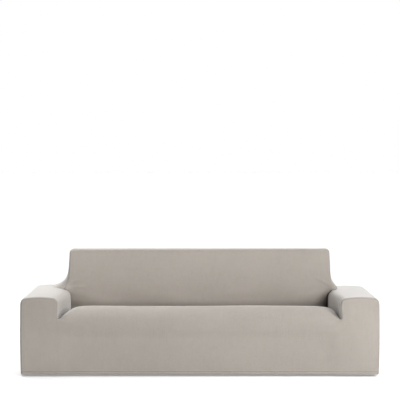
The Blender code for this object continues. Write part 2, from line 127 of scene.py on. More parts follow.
# The seat's edge: the width over which it drops in front, how steeply, which share of the drop
# comes late and how steep that is. Then the radius of the backrest's top corner.
Side = namedtuple("Side", "sign arm web crown_fade edge_curve late_share late_curve corner_radius")
LEFT = Side(
    -1,
    Arm(1.205, 0.952, 0.915, 0.040, 0.046, 2.2, 0.022),
    Web(0.116, 0.038, 1.0, 0.050, 0.070, 0.030, 0.30),
    0.175, 3.0, 0.0, 3.0, 0.036,
)
RIGHT = Side(
    1,
    Arm(1.210, 0.950, 0.912, 0.036, 0.064, 1.4, 0.028),
    Web(0.052, 0.044, 1.8, 0.016, 0.050, 0.020, 0.55),
    0.190, 2.5, 0.70, 11.0, 0.028,
)
SIDES = (LEFT, RIGHT)
WEB_START = 0.940  # distance from the middle at which the sweep sets in
RAMP_START = 0.900  # the same for the foot that runs forward
RAMP_WIDTH = 0.070
RAMP_Z = 0.518  # middle of that foot
RAMP_HEIGHT = 0.030
WEB_RUN = 0.22  # share of the way to the rear over which the web opens out

# A row for each place where a sleeve's front seam is pinched in.
Pinch = namedtuple("Pinch", "side z half_height inset setback")
PINCHES = (Pinch(RIGHT, 0.465, 0.034, 0.003, 0.006),)

# A row for each soft hollow in the backrest's face.
Hollow = namedtuple("Hollow", "x z half_width half_height depth")
HOLLOWS = (
    Hollow(-0.45, 0.41, 0.22, 0.07, 0.014),
    Hollow(0.48, 0.41, 0.36, 0.07, 0.015),
    Hollow(0.935, 0.4, 0.095, 0.075, 0.034),
    Hollow(-0.9, 0.4, 0.1, 0.06, 0.018),
)

# A row for each rise along the seat's highest line.
Rise = namedtuple("Rise", "x half_width height")
RISES = (
    Rise(-0.7, 0.16, 0.003),
    Rise(0.36, 0.28, 0.004),
)

# A row for each soft ridge, or trough where its height is below 0, in the smoothed skin. It runs
# between two places on a side of the cover, which are x and z on the face, front and rear, and y
# and z on the arms' sides.
Fold = namedtuple("Fold", "side start end half_width height")
FOLDS = [Fold(*row) for row in (
    ("face", (-0.93, 0.5), (-0.7, 0.44), 0.032, 0.002),
    ("face", (-0.95, 0.548), (-0.84, 0.596), 0.011, 0.0014),
    ("face", (-0.95, 0.53), (-0.8, 0.54), 0.012, 0.0015),
    ("face", (-0.94, 0.57), (-0.88, 0.655), 0.011, 0.0014),
    ("face", (-0.93, 0.47), (-0.78, 0.452), 0.018, -0.0012),
    ("face", (-0.5, 0.48), (-0.08, 0.462), 0.03, 0.0016),
    ("face", (0.92, 0.505), (0.64, 0.434), 0.03, 0.0028),
    ("face", (0.945, 0.54), (0.83, 0.6), 0.011, 0.0018),
    ("face", (0.4, 0.5), (0.08, 0.47), 0.03, 0.0014),
    ("face", (0.7, 0.774), (0.92, 0.786), 0.014, 0.0026),
    ("front", (-0.22, 0.205), (0.28, 0.22), 0.035, 0.0012),
    ("front", (-0.86, 0.235), (-0.42, 0.215), 0.035, 0.0012),
    ("front", (0.38, 0.15), (0.84, 0.17), 0.04, 0.0012),
    ("front", (-0.95, 0.4), (-0.94, 0.3), 0.014, 0.001),
    ("front", (0.957, 0.425), (0.955, 0.505), 0.007, 0.0022),
    ("front", (0.9, 0.372), (0.7, 0.33), 0.022, 0.0014),
    ("front", (-0.9, 0.372), (-0.7, 0.335), 0.022, 0.0014),
    ("inner_right", (-0.45, 0.43), (-0.35, 0.5), 0.011, 0.0035),
    ("inner_right", (-0.455, 0.462), (-0.39, 0.482), 0.009, -0.0035),
    ("inner_right", (-0.43, 0.415), (-0.28, 0.455), 0.014, 0.0026),
    ("inner_left", (-0.44, 0.425), (-0.3, 0.48), 0.016, 0.0024),
    ("left", (-0.1, 0.44), (0.3, 0.35), 0.045, 0.0022),
    ("left", (-0.34, 0.18), (0.1, 0.3), 0.05, 0.0022),
    ("right", (-0.08, 0.44), (0.28, 0.34), 0.045, 0.0022),
    ("right", (-0.3, 0.16), (0.14, 0.27), 0.05, 0.0022),
    ("rear", (-0.96, 0.5), (-0.56, 0.64), 0.034, 0.0034),
    ("rear", (-0.98, 0.455), (-0.5, 0.48), 0.036, 0.003),
    ("rear", (0.95, 0.5), (0.6, 0.62), 0.034, 0.0034),
    ("rear", (0.97, 0.46), (0.52, 0.5), 0.036, 0.0028),
    ("rear", (-0.9, 0.3), (-0.36, 0.12), 0.055, 0.003),
    ("rear", (0.88, 0.32), (0.34, 0.13), 0.055, 0.003),
    ("rear", (-0.2, 0.36), (0.24, 0.29), 0.05, 0.002),
)]
FOLD_END_CURVE = 0.7  # how bluntly a fold ends; less is blunter

# Heights of the hem's rows above its bottom edge, the last one just above the hem.
HEM_LEVELS = (0.0, 0.004, 0.0085, 0.015, 0.0185, 0.0215, 0.026)
# Shares of the height between the last of those and the crease tip.
FRONT_ROW_SHARES = (0.07, 0.16, 0.27, 0.39, 0.51, 0.61, 0.69, 0.77, 0.88, 1.0)

# Heights above the arm's top at which the backrest's sides are cut.
SIDE_LEVELS = (0.0, 0.005, 0.012, 0.023, 0.041, 0.068, 0.105, 0.150, 0.200, SHOULDER_Z - ARM_TOP_Z)
TOP_ROUND_ANGLES = (22.5, 45.0, 67.5, 90.0)
# Height above the arm's top and rounding angle of each level of the backrest's shell.
SHELL_LEVELS = [(height, 0.0) for height in SIDE_LEVELS]
SHELL_LEVELS += [(SIDE_LEVELS[-1], math.radians(angle)) for angle in TOP_ROUND_ANGLES]
# Height of the top's surface under BACK_TOP_Z, by the share of the way from front to rear.
TopDrop = namedtuple("TopDrop", "share drop")
TOP_DROPS = (
    TopDrop(0.00, 0.013),
    TopDrop(0.05, 0.004),
    TopDrop(0.12, 0.000),
    TopDrop(1.00, 0.030),
)
TOP_FALL_CURVE = 1.3  # how late it falls toward the rear

# Shares of the half width at which the columns run.
HALF_COLUMNS = (
    0.0, 0.10, 0.20, 0.30, 0.40, 0.50, 0.60, 0.68, 0.75, 0.81, 0.855, 0.89, 0.92, 0.945, 0.965,
    0.982, 0.9925, 1.0,
)
COLUMNS = tuple(-share for share in reversed(HALF_COLUMNS[1:])) + HALF_COLUMNS

# Angles of the sleeve's rounded ends, and shares of the way between them.
FRONT_END_ANGLES = (72, 40, 0)
SLEEVE_SHARES = (
    0.05, 0.09, 0.135, 0.18, 0.245, 0.31, 0.385, 0.46, 0.535, 0.61, 0.685, 0.76, 0.83, 0.90, 0.95,
    0.985, 1.0,
)
BEHIND_SHARES = (0.02, 0.06, 0.14, 0.26, 0.42, 0.60, 0.80)
REAR_END_ANGLES = (0, 38, 76)

# Shares of the way from the seat's highest line to the backrest.
SEAT_SHARES = (0.11, 0.22, 0.33, 0.44, 0.55, 0.66, 0.76, 0.86, 0.93, 0.98, 1.0)
FIRST_FACE_SHARE = 0.018  # first row of the backrest's face above the crease

# Steps round an arm's cross-section.
INNER_SIDE_SHARES = (0.0, 0.07, 0.22, 0.46, 0.73)
ARC_STEPS = 6
ARC_ANGLES = [math.pi / 2 * step / ARC_STEPS for step in range(ARC_STEPS + 1)]
FOOT_SHARES = (0.33, 0.66)  # of the way from the inner top edge to where the web lands
FOOT_ROOM = 0.010  # least width that they span
TOP_STEPS = 5

# How deep the cloth is tucked in along its creases.
SEAT_TUCK = 0.020  # between seat and backrest
ARM_TUCK = 0.017  # between seat and arm
ARM_TUCK_FADE = 0.045  # behind the front, over which it sets in
CORNER_TUCK = 0.028  # between the right arm and the backrest
CORNER_TOP_Z = 0.514  # height at which that has faded out
CORNER_TUCK_FADE = 0.050

# Knit, in metres
WALE = 0.0021  # width of a column of loops
COURSE = 0.0017  # height of a loop
LOOP_LEAN = 0.55  # how far a loop's legs lean, in courses
LOOP_SWAY = 0.0030  # how far the columns wander
LEG_CURVE = 0.6  # how round a loop's leg is across; less is flatter
YARN_LOW = 0.5  # height of a leg's ends, as a share of its middle
SEAM_GROOVE = 0.0016  # half width of the groove along a seam
SEAM_ROLL = 0.0045  # distance of the raised allowance beside it
SEAM_STEP = 0.002  # between the points that stand for a seam
HEM_STITCH_HEIGHT = 0.0187  # of the hem's stitches, above its bottom edge
HEM_GROOVE = 0.0034  # half width of the groove that they pull in
HEM_ROLL = 0.0068  # distance of the soft rolls on both sides of the stitches
STITCH = 0.0034  # from one stitch to the next
THREAD = 0.0006  # half width of the thread
DASH_FULL = 0.30  # up to here from a stitch's middle its thread shows, in stitches
DASH_END = 0.42  # and here it is gone

# A row for each noise in the knit: how many waves a metre holds, which is one number in the
# cover's own space and three along a panel's flat places, then its detail and its roughness.
Noise = namedtuple("Noise", "waves detail roughness")
NOISES = {
    "drift": Noise(14.0, 2.0, 0.5),
    "fuzz": Noise(1400.0, 3.0, 0.65),
    "rumple": Noise(26.0, 3.0, 0.55),
    "tug": Noise((9.0, 60.0, 1.0), 3.0, 0.5),
    "streak": Noise((340.0, 6.0, 1.0), 2.0, 0.6),
    "broad": Noise(3.2, 2.0, 0.5),
    "fibre": Noise(620.0, 2.0, 0.7),
}
# A row for each pattern that darkens or lightens the knit's colour: the range over which it is
# read, and the tone at each end of that. Some rows are the knit's own tones, others paint shade
# and highlight, as noted above them.
Tone = namedtuple("Tone", "pattern low high low_tone high_tone")
TONES_AND_PAINTED_LIGHT = (
    # painted shade in the grooves between the loops, lighter on their backs
    Tone("loops", 0.0, 0.85, 0.74, 1.04),
    Tone("fibre", 0.25, 0.75, 0.93, 1.07),
    Tone("streak", 0.3, 0.7, 0.975, 1.025),
    Tone("broad", 0.3, 0.7, 0.975, 1.025),
    Tone("rumple", 0.3, 0.7, 0.985, 1.015),
    # painted shade in the seams' grooves
    Tone("in_seam", 0.0, 1.0, 1.0, 0.62),
    # painted shade in the hem's groove and painted highlight on the rolls beside it
    Tone("in_groove", 0.0, 1.0, 1.0, 0.70),
    Tone("beside_groove", 0.0, 1.0, 1.0, 1.15),
    Tone("thread", 0.0, 1.0, 1.0, 1.25),
)
# Height that each pattern adds to the knit's surface.
RELIEFS = {
    "loops": 0.00028,
    "fuzz": 0.00008,
    "rumple": 0.0006,
    "tug": 0.0005,
    "in_seam": -0.0006,
    "beside_seam": 0.0003,
    "in_groove": -0.0010,
    "beside_groove": 0.0005,
    "thread": 0.0003,
}

# Painted shade in the creases, darkening the cloth's colour
CREASE_SHADE_REACH = 0.035  # how near the cloth must be to itself to look darker
BACK_SHADE_REACH = 0.055  # added to that on the backrest's face
BACK_SHADE_EASE = 0.012  # how far above and below the seat's crease that eases in
CREASE_SHADE = 0.90  # share of its colour that the deepest crease loses
CREASE_SHADE_CURVE = 1.5  # how fast the shade fades away from the crease
CREASE_SHADE_START = 0.070  # height above the cover's bottom from which it is complete
CREASE_SAMPLES = 8

# Cloth's colour and sheen
KNIT_SHADE = (0.408, 0.371, 0.331, 1.0)
KNIT_LIGHT = (0.452, 0.413, 0.371, 1.0)
FIBRE_RANGE = (0.3, 0.7)  # of the fibre noise, over which the colour goes from shade to light
KNIT_ROUGHNESS = (0.92, 0.78)  # between the loops and on their backs
KNIT_SPECULAR = 0.5
KNIT_SHEEN = 1.0
KNIT_SHEEN_ROUGHNESS = 0.3

# Surroundings
WHITE = (1.0, 1.0, 1.0, 1.0)
REAR_GLOW = 7.2  # strength of the glow straight behind the cover
REAR_GLOW_FOCUS = 8.0  # how fast it fades to the sides
FLOOR_GLOW = 0.32  # keeps the floor white in the picture
FLOOR_COLOUR = (0.9, 0.9, 0.9, 1.0)
FLOOR_HALF = 30.0

# A row for each lamp: a sun's strength and softness in degrees, or a soft box's power and width;
# the direction of a sun, or the place of a box, which faces the cover.
Lamp = namedtuple("Lamp", "name kind power size place")
LAMPS = (
    Lamp("key_light", "SUN", 1.98, 40.0, (0.579, -0.579, 0.574)),
    Lamp("rear_light", "SUN", 0.52, 40.0, (-0.542, 0.542, 0.643)),
    Lamp("top_light", "SUN", 0.45, 60.0, (0.0, -0.002, 1.0)),
    Lamp("right_box", "AREA", 46.0, 1.5, (3.0, -2.5, 0.8)),
    Lamp("low_right_box", "AREA", 12.0, 1.0, (3.5, -3.5, -0.2)),
    Lamp("left_top_box", "AREA", 32.0, 1.6, (-1.2, 0.2, 1.6)),
)
LAMP_TARGET = Vector((0.0, -0.3, -0.45))

CAMERA_PLACE = (0.0033, -10.7812, 1.0236)
CAMERA_TILT = 86.4  # degrees up from straight down
CAMERA_LENS = 135.0  # millimetres, as is the next
CAMERA_SENSOR = 36.0
CAMERA_REACH = 200.0

PANELS = (
    "seat_front_panel", "arm_panel_left", "arm_panel_right", "inside_back_panel",
    "outside_back_panel",
)
SEAT, ARM_LEFT, ARM_RIGHT, FACE = range(4)  # places of the first four in that row


def blend(start, end, share):
    """Value a share of the way from start to end."""
    return start + (end - start) * share


def smooth(share):
    """Share clipped to 0..1 and eased at both ends."""
    share = min(max(share, 0.0), 1.0)
    return share * share * (3.0 - 2.0 * share)


def bell(distance, half_width):
    """Soft bump of height 1 that fades over about twice its half width."""
    return math.exp(-(distance / half_width) ** 2)


def hem_curl(z):
    """How far the cloth has rolled under at height z."""
    share = max(0.0, 1.0 - (z - HEM_Z) / HEM_CURL_HEIGHT)
    return HEM_CURL * share * share


def side_of(x):
    """The side a place or a column share lies on."""
    return LEFT if x < 0.0 else RIGHT


def face_depth(x, z):
    """Y of the backrest's face."""
    lean = FACE_Y + FACE_LEAN * (z - CREASE_Z)
    lean -= FACE_BULGE * max(0.0, z - CREASE_Z) * max(0.0, SHOULDER_Z - z)
    web = side_of(x).web
    lean += web.sweep * smooth((abs(x) - WEB_START) / web.sweep_width)
    lean -= web.ramp * smooth((abs(x) - RAMP_START) / RAMP_WIDTH) * bell(z - RAMP_Z, RAMP_HEIGHT)
    lean += UNDERCUT_DEPTH * bell(z - CREASE_Z, UNDERCUT_HEIGHT)
    return lean + sum(
        hollow.depth
        * bell(x - hollow.x, hollow.half_width)
        * bell(z - hollow.z, hollow.half_height)
        for hollow in HOLLOWS
    )


def sleeve_rows():
    """Share of the way and end inset of each row, and the index of the row at the backrest.

    Up to the backrest's face a share runs from the front to the face, behind it from there to
    the rear.
    """
    face_run = FACE_Y - FRONT_Y
    rear_run = REAR_Y - face_depth(0.0, ARM_TOP_Z)
    rows = []
    for angle in map(math.radians, FRONT_END_ANGLES):
        inset = ARM_FRONT_RADIUS * (1.0 - math.cos(angle))
        rows.append((ARM_FRONT_RADIUS * (1.0 - math.sin(angle)) / face_run, inset))
    rows += [(share, 0.0) for share in SLEEVE_SHARES + BEHIND_SHARES]
    for angle in map(math.radians, REAR_END_ANGLES):
        inset = REAR_RADIUS * (1.0 - math.cos(angle))
        rows.append((1.0 - REAR_RADIUS * (1.0 - math.sin(angle)) / rear_run, inset))
    shares, insets = zip(*rows)
    return shares, insets, len(FRONT_END_ANGLES + SLEEVE_SHARES) - 1


ROW_SHARE, ROW_INSET, FACE_ROW = sleeve_rows()
LAST_ROW = len(ROW_SHARE) - 1
CROWN_ROW = FACE_ROW - len(SEAT_SHARES)
SIDE_STEPS = len(INNER_SIDE_SHARES)
WEB_INDEX = SIDE_STEPS + ARC_STEPS + 1 + len(FOOT_SHARES)  # point of a section where the web lands
OUTER_MID_INDEX = WEB_INDEX + TOP_STEPS + ARC_STEPS // 2
INNER_MID_INDEX = SIDE_STEPS + ARC_STEPS // 2


def row_depth(row, face_y, rear_y=REAR_Y):
    """Y of a row where the backrest's face and the rear lie at the given depths."""
    if row <= FACE_ROW:
        return blend(FRONT_Y, face_y, ROW_SHARE[row])
    return blend(face_y, rear_y, ROW_SHARE[row])


def arm_top(side, row):
    """Height of an arm's top at a row."""
    depth = row_depth(row, face_depth(0.0, ARM_TOP_Z))
    return ARM_TOP_Z - side.arm.rear_drop * (depth - FRONT_Y) / (REAR_Y - FRONT_Y)


def outer_heights(tip_z, top_z):
    """Heights of the rows on an outer side, from the hem to where its top edge rounds."""
    heights = [HEM_Z + level for level in HEM_LEVELS]
    heights += [blend(heights[-1], tip_z, share) for share in FRONT_ROW_SHARES]
    heights += [blend(tip_z, top_z, (step + 1) / SIDE_STEPS) for step in range(SIDE_STEPS)]
    return heights


def side_reach(side, height, share=0.0):
    """Distance of the backrest's side from the middle, at a height above the arm's top.

    The web opens out over the first part of the way from front to rear, given as a share.
    """
    below_shoulder = SHOULDER_Z - ARM_TOP_Z - height
    web = side.web
    flare = web.reach * math.exp(-(max(height, 0.0) / web.decay) ** web.steepness)
    flare *= blend(web.front_share, 1.0, smooth(share / WEB_RUN))
    return BACK_HALF + BACK_TAPER * below_shoulder + flare


def arm_profile(side, row):
    """X and z round an arm at one row, then x of the web's landing and height of the top."""
    inset = ROW_INSET[row]
    way = ROW_SHARE[row] if row <= FACE_ROW else 1.0
    arm = side.arm
    swell = (1.0 - way) ** arm.inner_curve
    inner = blend(arm.inner_rear_x, arm.inner_front_x, swell) + inset
    outer = arm.outer_x - inset
    top = arm_top(side, row) - inset
    crease = blend(TIP_Z, EDGE_REAR_Z, way)
    inner_radius = blend(arm.inner_radius, ARM_INNER_REAR_RADIUS, way)
    inner_radius = blend(arm.front_radius, inner_radius, smooth(way / FRONT_RADIUS_RUN)) - inset
    outer_radius = ARM_OUTER_RADIUS - inset
    flat_start = inner + inner_radius
    if row > FACE_ROW:
        web = side_reach(side, 0.0, ROW_SHARE[row]) - inset
    else:
        web = max(side_reach(side, 0.0), flat_start + FOOT_ROOM)

    profile = [(inner, blend(crease, top - inner_radius, share)) for share in INNER_SIDE_SHARES]
    for angle in ARC_ANGLES:
        x = inner + inner_radius * (1.0 - math.cos(angle))
        profile.append((x, top - inner_radius * (1.0 - math.sin(angle))))
    flat_end = outer - outer_radius
    places = [blend(flat_start, web, share) for share in FOOT_SHARES]
    places += [blend(web, flat_end, step / TOP_STEPS) for step in range(TOP_STEPS + 1)]
    for x in places:
        across = (x - flat_start) / (flat_end - flat_start)
        profile.append((x, top + ARM_CROWN * math.sin(math.pi * across)))
    for angle in ARC_ANGLES[1:-1]:
        x = flat_end + outer_radius * math.sin(angle)
        profile.append((x, top - outer_radius * (1.0 - math.cos(angle))))
    side_top = top - outer_radius
    for z in reversed(outer_heights(TIP_Z, side_top)):
        bow = ARM_OUTER_BOW * math.sin(math.pi * (z - HEM_Z) / (side_top - HEM_Z))
        profile.append((outer + bow - hem_curl(z), z))
    return profile, web, top


def arm_section(side, row):
    """Points round an arm at one row: inner side, top and outer side down to the hem."""
    profile, web, top = arm_profile(side, row)
    points = []
    for index, (x, z) in enumerate(profile):
        signed_x = side.sign * x
        if index < WEB_INDEX:
            face_y = face_depth(signed_x, z)
        else:
            face_y = face_depth(side.sign * web, top)
        points.append(Vector((signed_x, row_depth(row, face_y), z)))
    if row == 0:
        for pinch in PINCHES:
            if pinch.side is side:
                for point in points[1:SIDE_STEPS + 1]:
                    depth = bell(point.z - pinch.z, pinch.half_height)
                    point.x += side.sign * pinch.inset * depth
                    point.y += pinch.setback * depth
    return points


def front_depth(x, z, edge_x):
    """Y of the front between the arm faces: a skirt that hangs back under the seat's swell."""
    swollen = smooth((z - SWELL_LOW_Z) / (SWELL_HIGH_Z - SWELL_LOW_Z))
    fade = smooth((edge_x - abs(x)) / SKIRT_FADE)
    return FRONT_Y + fade * blend(SKIRT_RECESS, -SWELL, swollen) + hem_curl(z)


def seat_point(sections, row, share):
    """Point of the seat at one row and one column."""
    side = side_of(share)
    edge = sections[side][row][0]
    edge_x = abs(edge.x)
    x = share * edge_x
    if abs(share) == 1.0:
        return edge.copy()
    behind = smooth(row / CROWN_ROW - 1.0)
    near_edge = max(0.0, (abs(x) - edge_x + side.crown_fade) / side.crown_fade)
    front_drop = blend(near_edge ** side.edge_curve, near_edge ** side.late_curve, side.late_share)
    near_edge = blend(front_drop, near_edge ** EDGE_REAR_CURVE, behind)
    crown = CROWN_Z + sum(rise.height * bell(x - rise.x, rise.half_width) for rise in RISES)
    front_y = front_depth(x, FRONT_ROUND_Z, abs(sections[side][0][0].x))
    if row <= CROWN_ROW:
        angle = math.pi / 2 * row / CROWN_ROW
        y = front_y + (FRONT_Y + CROWN_SETBACK - front_y) * (1.0 - math.cos(angle))
        z = blend(FRONT_ROUND_Z, crown, math.sin(angle))
    else:
        way = SEAT_SHARES[row - CROWN_ROW - 1]
        y = blend(FRONT_Y + CROWN_SETBACK, face_depth(x, CREASE_Z), way)
        z = blend(crown, CREASE_Z, way ** FALL_CURVE)
        z -= VALLEY_DEPTH * bell((1.0 - way) * (FACE_Y - FRONT_Y - CROWN_SETBACK), VALLEY_WIDTH)
    z = blend(z, edge.z, near_edge)
    y = blend(y, edge.y, near_edge)
    if row == FACE_ROW:
        y = face_depth(x, z)
    return Vector((x, y, z))


def fill(bottom, top, left, right):
    """Grid of points that spans four edges, each row running from left to right."""
    last_column = len(bottom) - 1
    last_row = len(left) - 1
    grid = []
    for row in range(last_row + 1):
        v = row / last_row
        line = []
        for column in range(last_column + 1):
            u = column / last_column
            ruled = blend(bottom[column], top[column], v) + blend(left[row], right[row], u)
            corners = blend(blend(bottom[0], bottom[-1], u), blend(top[0], top[-1], u), v)
            line.append(ruled - corners)
        grid.append(line)
    return grid


def line_between(start, end, steps):
    """Evenly spaced points from start to end."""
    return [start.lerp(end, step / steps) for step in range(steps + 1)]


def height_map(grid, axis):
    """Flat place of each point: along an axis, and its height above the hem's bottom."""
    return [[(point[axis], point.z - HEM_Z) for point in line] for line in grid]


def run_map(grid, axis, first):
    """Flat place of each point: along an axis, and the way run up its column from first."""
    flat = [list(first)]
    for lower, upper in zip(grid, grid[1:]):
        flat.append([
            (point[axis], place[1] + (point - under).length)
            for point, under, place in zip(upper, lower, flat[-1])
        ])
    return flat


def front_grids(sections):
    """Seat, front skirt and both arm faces, each with its flat places."""
    seat = [[seat_point(sections, row, share) for share in COLUMNS] for row in range(FACE_ROW + 1)]
    skirt = []
    for index in range(len(HEM_LEVELS) + len(FRONT_ROW_SHARES) - 1):
        line = []
        for share, top_point in zip(COLUMNS, seat[0]):
            z = outer_heights(top_point.z, ARM_TOP_Z)[index]
            edge_x = abs(sections[side_of(share)][0][0].x)
            line.append(Vector((top_point.x, front_depth(top_point.x, z, edge_x), z)))
        skirt.append(line)
    skirt.append(seat[0])

    skirt_flat = height_map(skirt, 0)
    grids = [(skirt, skirt_flat), (seat, run_map(seat, 0, skirt_flat[-1]))]
    for side, column in ((LEFT, 0), (RIGHT, -1)):
        section = sections[side][0]
        left = [line[column] for line in skirt] + section[1:INNER_MID_INDEX + 1]
        right = section[:OUTER_MID_INDEX - 1:-1]
        top = section[INNER_MID_INDEX:OUTER_MID_INDEX + 1]
        bottom = line_between(left[0], right[0], len(top) - 1)
        face = fill(bottom, top, left, right)
        for row, line in enumerate(face):
            for number, point in enumerate(line):
                up = math.sin(math.pi * row / (len(face) - 1))
                along = math.sin(math.pi * number / (len(line) - 1))
                point.y -= ARM_FACE_FULLNESS * up * along
        grids.append((face, height_map(face, 0)))
    return grids, seat


def sleeve_grids(sections, side):
    """An arm's inner side, top and outer side."""
    rows = sections[side]
    flat = []
    for section in rows:
        line = [(section[-1].y, 0.0)]
        for point, under in zip(section[-2::-1], section[:0:-1]):
            line.append((point.y, line[-1][1] + (point - under).length))
        flat.append(line[::-1])
    behind = [section[WEB_INDEX:] for section in rows[FACE_ROW:]]
    behind_flat = [line[WEB_INDEX:] for line in flat[FACE_ROW:]]
    return [(rows[:FACE_ROW + 1], flat[:FACE_ROW + 1]), (behind, behind_flat)]


def top_drop(share):
    """How far the top's surface lies under its highest line, a share of the way to the rear."""
    for near, far in zip(TOP_DROPS, TOP_DROPS[1:]):
        if share <= far.share:
            way = (share - near.share) / (far.share - near.share)
            eased = smooth(way) if far.drop < near.drop else way ** TOP_FALL_CURVE
            return blend(near.drop, far.drop, eased)
    return TOP_DROPS[-1].drop


def shell_point(sections, side, level, row):
    """Point on the backrest's side at one level and one row, from the face to the rear."""
    if level == 0:
        return sections[side][row][WEB_INDEX].copy()
    height, angle = SHELL_LEVELS[level]
    share = 0.0 if row == FACE_ROW else ROW_SHARE[row]
    base_z = sections[side][row][WEB_INDEX].z
    z = blend(base_z, SHOULDER_Z, height / SIDE_LEVELS[-1])
    z = blend(z, BACK_TOP_Z - top_drop(share), math.sin(angle))
    turn = 1.0 - math.cos(angle)
    near_face = max(0.0, 1.0 - share / SIDE_EDGE_SHARE)
    front_round = SIDE_EDGE_ROUND * near_face * min(1.0, height / SIDE_EDGE_HEIGHT)
    x = side_reach(side, height, share) - ROW_INSET[row] - side.corner_radius * turn - front_round
    signed_x = side.sign * x
    rear_y = REAR_Y - REAR_LEAN * (z - base_z) - TOP_REAR_RADIUS * turn
    face_y = face_depth(signed_x, z)
    y = face_y if row == FACE_ROW else row_depth(row, face_y, rear_y)
    return Vector((signed_x, y, z))


def across(left, right, share):
    """Point between two side points at a column share."""
    point = left.lerp(right, (share + 1.0) / 2.0)
    point.x = abs(share) * (left.x if share < 0.0 else right.x)
    return point


def rear_heights(section, top_z):
    """Heights of the rear's lower rows, from the hem to top_z."""
    heights = [point.z for point in section[:OUTER_MID_INDEX - 1:-1]]
    hem_rows = len(HEM_LEVELS)
    hem_top = heights[hem_rows - 1]
    stretch = (top_z - hem_top) / (heights[-1] - hem_top)
    return heights[:hem_rows] + [hem_top + (z - hem_top) * stretch for z in heights[hem_rows:]]


def outside_back_grids(sections):
    """Top, sides and rear of the backrest, with the rear of both arms down to the hem."""
    rows = range(FACE_ROW, LAST_ROW + 1)
    levels = range(len(SHELL_LEVELS))
    shells = {
        side: [[shell_point(sections, side, level, row) for row in rows] for level in levels]
        for side in SIDES
    }
    crowns = zip(shells[LEFT][-1], shells[RIGHT][-1])
    top = [[across(a, b, share) for share in COLUMNS] for a, b in crowns]
    upper = [
        [across(shells[LEFT][level][-1], shells[RIGHT][level][-1], share) for share in COLUMNS]
        for level in levels
    ]
    top[-1] = upper[-1]
    upper_flat = run_map(upper, 0, height_map(upper, 0)[0])
    top_flat = run_map(top[::-1], 0, upper_flat[-1])[::-1]
    grids = [(shell, run_map(shell, 1, height_map(shell, 1)[0])) for shell in shells.values()]
    grids += [(top, top_flat), (upper, upper_flat)]

    landings = {}
    for side in SIDES:
        section = sections[side][LAST_ROW]
        corner = section[WEB_INDEX]
        heights = rear_heights(section, corner.z)
        left = [Vector((corner.x, corner.y - hem_curl(z), z)) for z in heights]
        right = [point.copy() for point in section[:OUTER_MID_INDEX - 1:-1]]
        edge_top = section[WEB_INDEX:OUTER_MID_INDEX + 1]
        bottom = line_between(left[0], right[0], len(edge_top) - 1)
        arm_rear = fill(bottom, edge_top, left, right)
        grids.append((arm_rear, height_map(arm_rear, 0)))
        landings[side] = left
    lower = [
        [across(a, b, share) for share in COLUMNS] for a, b in zip(landings[LEFT], landings[RIGHT])
    ]
    grids.append((lower, height_map(lower, 0)))
    return grids, shells, top


def inside_back_grids(sections, seat, shells, top):
    """Face of the backrest, from the crease at the seat to the top edge."""
    edges = {
        side: sections[side][FACE_ROW][:WEB_INDEX] + [level[0] for level in shells[side]]
        for side in SIDES
    }
    last = len(edges[LEFT]) - 1
    face = [seat[-1]]
    for row in range(1, last):
        way = FIRST_FACE_SHARE if row == 1 else row / last
        line = []
        for column, share in enumerate(COLUMNS):
            edge = edges[side_of(share)][row]
            if abs(share) == 1.0:
                line.append(edge.copy())
                continue
            middle_z = blend(seat[-1][column].z, top[0][column].z, way)
            z = blend(middle_z, edge.z, abs(share) ** FACE_HEIGHT_CURVE)
            x = share * blend(BACK_HALF, abs(edge.x), abs(share) ** FACE_WIDTH_CURVE)
            line.append(Vector((x, face_depth(x, z), z)))
        face.append(line)
    face.append(top[0])
    return [(face, height_map(face, 0))]


def add_grid(skin, layer, uv, grid, flat, panel):
    """Add one grid of points to the skin as four-sided faces of a panel."""
    corners = [[skin.verts.new(point) for point in line] for line in grid]
    for row in range(len(corners) - 1):
        for column in range(len(corners[row]) - 1):
            places = ((row, column), (row, column + 1), (row + 1, column + 1), (row + 1, column))
            face = skin.faces.new([corners[r][c] for r, c in places])
            face[layer] = panel
            face.material_index = panel
            for loop, (r, c) in zip(face.loops, places):
                loop[uv].uv = flat[r][c]


def tuck_depth(vert, kinds):
    """How deep a point of a crease is tucked in, by the panels that meet in it."""
    depth = SEAT_TUCK if {SEAT, FACE} <= kinds else 0.0
    if SEAT in kinds and kinds & {ARM_LEFT, ARM_RIGHT}:
        set_in = smooth((vert.co.y - FRONT_Y) / ARM_TUCK_FADE)
        depth = max(depth, ARM_TUCK * set_in)
    if {ARM_RIGHT, FACE} <= kinds:
        depth = max(depth, CORNER_TUCK * smooth((CORNER_TOP_Z - vert.co.z) / CORNER_TUCK_FADE))
    return depth


def build_cage(panels):
    """Weld all panels' grids into one skin that faces outward, with its creases marked."""
    skin = bmesh.new()
    layer = skin.faces.layers.int.new("panel")
    crease = skin.edges.layers.float.new("crease_edge")
    uv = skin.loops.layers.uv.new("flat")
    for panel, grids in enumerate(panels):
        for grid, flat in grids:
            add_grid(skin, layer, uv, grid, flat, panel)
    bmesh.ops.remove_doubles(skin, verts=skin.verts, dist=WELD_DISTANCE)
    bmesh.ops.recalc_face_normals(skin, faces=skin.faces)
    skin.normal_update()
    highest = max(skin.faces, key=lambda face: face.calc_center_median().z)
    if highest.normal.z < 0.0:
        bmesh.ops.reverse_faces(skin, faces=skin.faces)
    skin.normal_update()
    moves = []
    for edge in skin.edges:
        if len(edge.link_faces) == 2 and edge.link_faces[0][layer] != edge.link_faces[1][layer]:
            if edge.calc_face_angle_signed(0.0) < CREASE_ANGLE:
                edge[crease] = 1.0
    for vert in skin.verts:
        if any(edge[crease] for edge in vert.link_edges):
            kinds = {face[layer] for face in vert.link_faces}
            inward = Vector()
            for face in vert.link_faces:
                inward -= face.normal
            moves.append((vert, inward.normalized() * tuck_depth(vert, kinds)))
    for vert, move in moves:
        vert.co += move
    return skin


def new_object(name, data):
    """A new object in the scene."""
    item = bpy.data.objects.new(name, data)
    bpy.context.scene.collection.objects.link(item)
    return item


